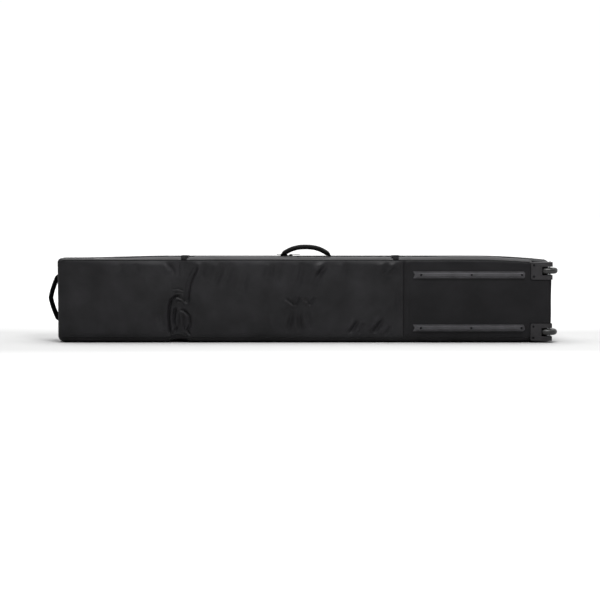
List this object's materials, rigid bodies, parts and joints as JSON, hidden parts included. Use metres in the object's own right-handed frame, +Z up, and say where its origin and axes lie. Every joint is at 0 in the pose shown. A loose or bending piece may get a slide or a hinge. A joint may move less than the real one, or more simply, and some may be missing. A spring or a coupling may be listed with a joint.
{
  "type": "snowboard bag",
  "caption": "Long padded black board bag on its narrow side, with a zipped hinging lid, skid rails, wheels in corner housings, compression straps and padded grab handles.",
  "frame": {"origin": "centre of the bounding box in plan, at the floor under the lower side panel", "axes": "+X along the bag towards its wheels, +Y from the base towards the lid, +Z up across the bag's width"},
  "size_m": [1.8046, 0.1612, 0.344],
  "materials": {
    "shell_fabric": "matt black woven polyester with a coated back",
    "tarpaulin": "smooth black coated fabric at the wheel end",
    "foam": "closed-cell foam, covered by fabric on both sides",
    "lining": "plain grey lining",
    "webbing": "black ribbed webbing",
    "zip": "black tape with a black plastic coil",
    "board": "twin-wall sheet, hidden inside",
    "moulded_plastic": "dark grey, finely textured",
    "hub_plastic": "grey nylon",
    "tyre": "black polyurethane",
    "screw_steel": "black-finished steel screws",
    "axle_steel": "bright plated steel",
    "bearing_steel": "shielded ball bearing, stored as one ring",
    "zip_metal": "black enamelled zinc"
  },
  "bodies": {
    "bag": {"base_panel": "shell_fabric", "side_panel_upper": "shell_fabric", "side_panel_lower": "shell_fabric", "end_panel_nose": "shell_fabric", "base_panel_wheel_end": "tarpaulin", "end_panel_wheel_end": "tarpaulin", "base_pad_nose": "foam", "base_pad_middle": "foam", "side_pad_upper": "foam", "side_pad_lower": "foam", "end_pad_nose": "foam", "end_pad_wheel_end": "foam", "base_board_wheel_end": "board", "lining": "lining", "zip_half_bag": "zip", "strap_anchor_nose": "webbing", "strap_anchor_wheel": "webbing", "buckle_socket_nose": "moulded_plastic", "buckle_socket_wheel": "moulded_plastic", "wheel_housing_upper": "moulded_plastic", "wheel_housing_lower": "moulded_plastic", "skid_rail_upper": "moulded_plastic", "skid_rail_lower": "moulded_plastic", "housing_screw_upper_1": "screw_steel", "housing_screw_upper_2": "screw_steel", "housing_screw_lower_1": "screw_steel", "housing_screw_lower_2": "screw_steel", "rail_screw_upper_1": "screw_steel", "rail_screw_upper_2": "screw_steel", "rail_screw_upper_3": "screw_steel", "rail_screw_lower_1": "screw_steel", "rail_screw_lower_2": "screw_steel", "rail_screw_lower_3": "screw_steel", "axle_upper": "axle_steel", "axle_lower": "axle_steel"},
    "lid": {"lid_panel": "shell_fabric", "lid_rim": "shell_fabric", "lid_pad": "foam", "zip_half_lid": "zip", "strap_nose": "webbing", "strap_wheel": "webbing"},
    "slider_nose": {"slider_nose": "zip_metal"},
    "slider_wheel": {"slider_wheel": "zip_metal"},
    "pull_nose": {"pull_nose": "zip_metal"},
    "pull_wheel": {"pull_wheel": "zip_metal"},
    "buckle_clip_nose": {"buckle_clip_nose": "moulded_plastic"},
    "buckle_clip_wheel": {"buckle_clip_wheel": "moulded_plastic"},
    "side_handle": {"side_handle_webbing": "webbing", "side_handle_sleeve": "webbing"},
    "nose_handle": {"nose_handle_webbing": "webbing", "nose_handle_sleeve": "webbing"},
    "wheel_upper": {"tyre_upper": "tyre", "hub_upper": "hub_plastic", "bearing_top_upper": "bearing_steel", "bearing_bottom_upper": "bearing_steel"},
    "wheel_lower": {"tyre_lower": "tyre", "hub_lower": "hub_plastic", "bearing_top_lower": "bearing_steel", "bearing_bottom_lower": "bearing_steel"}
  },
  "joints": [
    {"name": "lid_hinge", "type": "hinge", "parent": "bag", "child": "lid", "pos_m": [0, 0.075, 0.012], "axis": [-1, 0, 0], "range_deg": [0, 170]},
    {"name": "wheel_upper_spin", "type": "hinge", "parent": "bag", "child": "wheel_upper", "pos_m": [0.8636, -0.049, 0.2547], "axis": [0, 0, 1], "continuous": true},
    {"name": "wheel_lower_spin", "type": "hinge", "parent": "bag", "child": "wheel_lower", "pos_m": [0.8636, -0.049, 0.0377], "axis": [0, 0, 1], "continuous": true},
    {"name": "slider_nose_run", "type": "slide", "parent": "bag", "child": "slider_nose", "axis": [-1, 0, 0], "range_m": [0, 0.32]},
    {"name": "slider_wheel_run", "type": "slide", "parent": "bag", "child": "slider_wheel", "axis": [1, 0, 0], "range_m": [0, 0.33]},
    {"name": "pull_nose_hinge", "type": "hinge", "parent": "slider_nose", "child": "pull_nose", "pos_m": [-0.066, 0.038, 0.3072], "axis": [0, 1, 0], "range_deg": [0, 85]},
    {"name": "pull_wheel_hinge", "type": "hinge", "parent": "slider_wheel", "child": "pull_wheel", "pos_m": [-0.05, 0.038, 0.3072], "axis": [0, -1, 0], "range_deg": [0, 85]},
    {"name": "buckle_nose_release", "type": "slide", "parent": "lid", "child": "buckle_clip_nose", "axis": [0, 1, 0], "range_m": [0, 0.015]},
    {"name": "buckle_wheel_release", "type": "slide", "parent": "lid", "child": "buckle_clip_wheel", "axis": [0, 1, 0], "range_m": [0, 0.015]},
    {"name": "side_handle_fold", "type": "hinge", "parent": "bag", "child": "side_handle", "pos_m": [0, 0, 0.303], "axis": [1, 0, 0], "range_deg": [-45, 45], "stiffness_Nm_per_rad": 0.12},
    {"name": "nose_handle_fold", "type": "hinge", "parent": "bag", "child": "nose_handle", "pos_m": [-0.878, 0, 0.155], "axis": [0, 0, 1], "range_deg": [-30, 30], "stiffness_Nm_per_rad": 0.12}
  ]
}
